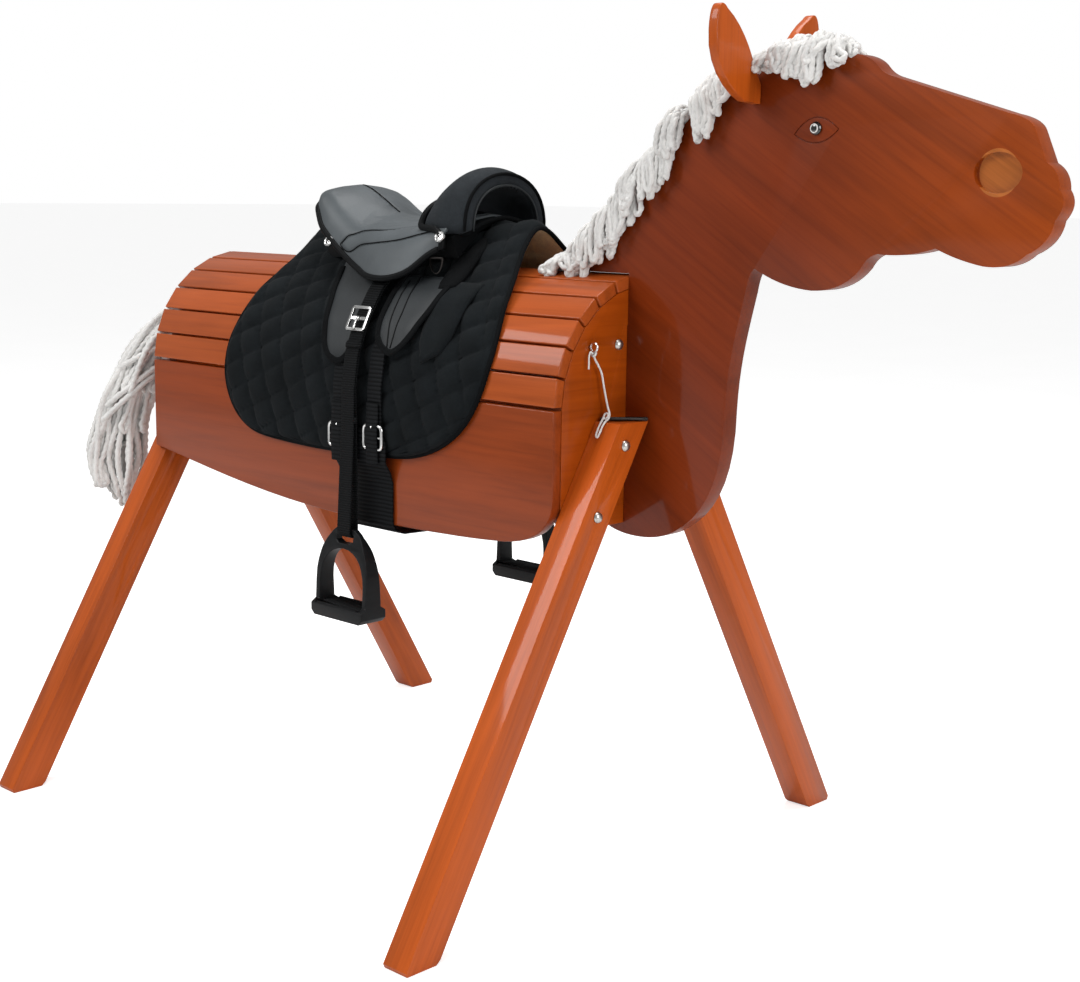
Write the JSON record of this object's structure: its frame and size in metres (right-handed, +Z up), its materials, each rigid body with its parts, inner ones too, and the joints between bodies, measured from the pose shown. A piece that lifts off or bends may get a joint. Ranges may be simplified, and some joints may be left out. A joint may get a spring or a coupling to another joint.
{
  "type": "saddle rack",
  "caption": "Wooden horse-shaped saddle rack: slatted barrel on splayed legs, flat neck and head, yarn mane and tail, with a quilted pad, pony saddle, girth and stirrups.",
  "frame": {"origin": "on the floor, under the middle of the whole length, on the centre plane", "axes": "+Z up, +X towards the nose, +Y the horse's left"},
  "size_m": [1.4928, 0.8082, 1.0474],
  "materials": {
    "varnished_light": "varnished softwood, reddish stain",
    "varnished_dark": "varnished ply, darker stain",
    "varnished_orange": "varnished softwood, orange stain",
    "pad_cloth": "quilted cloth over thin padding",
    "pommel_cloth": "woven cloth",
    "grey_vinyl": "soft grained vinyl with piping",
    "black_webbing": "woven webbing",
    "black_plastic": "moulded, satin",
    "white_yarn": "thick cotton yarn",
    "bright_steel": "nickel plated",
    "dark_steel": "dark, worn",
    "black_glass": "polished dome"
  },
  "bodies": {
    "horse": {"slat_right_1": "varnished_light", "slat_right_2": "varnished_light", "slat_right_3": "varnished_light", "slat_right_4": "varnished_light", "slat_right_5": "varnished_light", "slat_right_6": "varnished_light", "slat_left_1": "varnished_light", "slat_left_2": "varnished_light", "slat_left_3": "varnished_light", "slat_left_4": "varnished_light", "slat_left_5": "varnished_light", "slat_left_6": "varnished_light", "side_panel_right": "varnished_dark", "side_panel_left": "varnished_dark", "front_panel": "varnished_orange", "rear_panel": "varnished_light", "leg_front_right": "varnished_orange", "leg_rear_right": "varnished_light", "bolt_front_right_upper": "bright_steel", "bolt_front_right_lower": "bright_steel", "bolt_rear_right_upper": "bright_steel", "bolt_rear_right_lower": "bright_steel", "neck_cleat_right": "varnished_light", "bolt_neck_right": "bright_steel", "eye_right": "black_glass", "ear_right": "varnished_light", "leg_front_left": "varnished_orange", "leg_rear_left": "varnished_light", "bolt_front_left_upper": "bright_steel", "bolt_front_left_lower": "bright_steel", "bolt_rear_left_upper": "bright_steel", "bolt_rear_left_lower": "bright_steel", "neck_cleat_left": "varnished_light", "bolt_neck_left": "bright_steel", "eye_left": "black_glass", "ear_left": "varnished_light", "neck_head_plate": "varnished_dark", "screw_eye": "bright_steel", "leg_pin": "dark_steel", "retaining_cord": "white_yarn", "mane": "white_yarn", "tail": "white_yarn", "saddle_pad": "pad_cloth", "girth": "black_webbing", "seat": "grey_vinyl", "pommel_arch": "pommel_cloth", "flap_right": "grey_vinyl", "flap_left": "grey_vinyl"},
    "strap_right": {"stirrup_leather_right": "black_webbing", "leather_buckle_right": "bright_steel", "stirrup_bar_right": "dark_steel"},
    "prong_right": {"buckle_tongue_right": "bright_steel"},
    "stirrup_right": {"stirrup_right": "black_plastic"},
    "ring_right": {"d_ring_right": "dark_steel"},
    "strap_left": {"stirrup_leather_left": "black_webbing", "leather_buckle_left": "bright_steel", "stirrup_bar_left": "dark_steel"},
    "prong_left": {"buckle_tongue_left": "bright_steel"},
    "stirrup_left": {"stirrup_left": "black_plastic"},
    "ring_left": {"d_ring_left": "dark_steel"}
  },
  "joints": [
    {"name": "strap_swing_right", "type": "hinge", "parent": "horse", "child": "strap_right", "pos_m": [-0.13869, -0.08, 0.757], "axis": [0, 1, 0], "range_deg": [-20, 20]},
    {"name": "stirrup_swing_right", "type": "hinge", "parent": "strap_right", "child": "stirrup_right", "pos_m": [-0.13869, -0.168, 0.411], "axis": [1, 0, 0], "range_deg": [-75, 35]},
    {"name": "prong_lift_right", "type": "hinge", "parent": "strap_right", "child": "prong_right", "pos_m": [-0.13869, -0.14728, 0.68435], "axis": [1, 0, 0], "range_deg": [-60, 0]},
    {"name": "ring_swing_right", "type": "hinge", "parent": "horse", "child": "ring_right", "pos_m": [-0.04869, -0.097, 0.763], "axis": [1, 0, 0], "range_deg": [-75, 5]},
    {"name": "strap_swing_left", "type": "hinge", "parent": "horse", "child": "strap_left", "pos_m": [-0.13869, 0.08, 0.757], "axis": [0, 1, 0], "range_deg": [-20, 20]},
    {"name": "stirrup_swing_left", "type": "hinge", "parent": "strap_left", "child": "stirrup_left", "pos_m": [-0.13869, 0.168, 0.411], "axis": [1, 0, 0], "range_deg": [-35, 75]},
    {"name": "prong_lift_left", "type": "hinge", "parent": "strap_left", "child": "prong_left", "pos_m": [-0.13869, 0.14728, 0.68435], "axis": [1, 0, 0], "range_deg": [0, 60]},
    {"name": "ring_swing_left", "type": "hinge", "parent": "horse", "child": "ring_left", "pos_m": [-0.04869, 0.097, 0.763], "axis": [1, 0, 0], "range_deg": [-5, 75]}
  ]
}
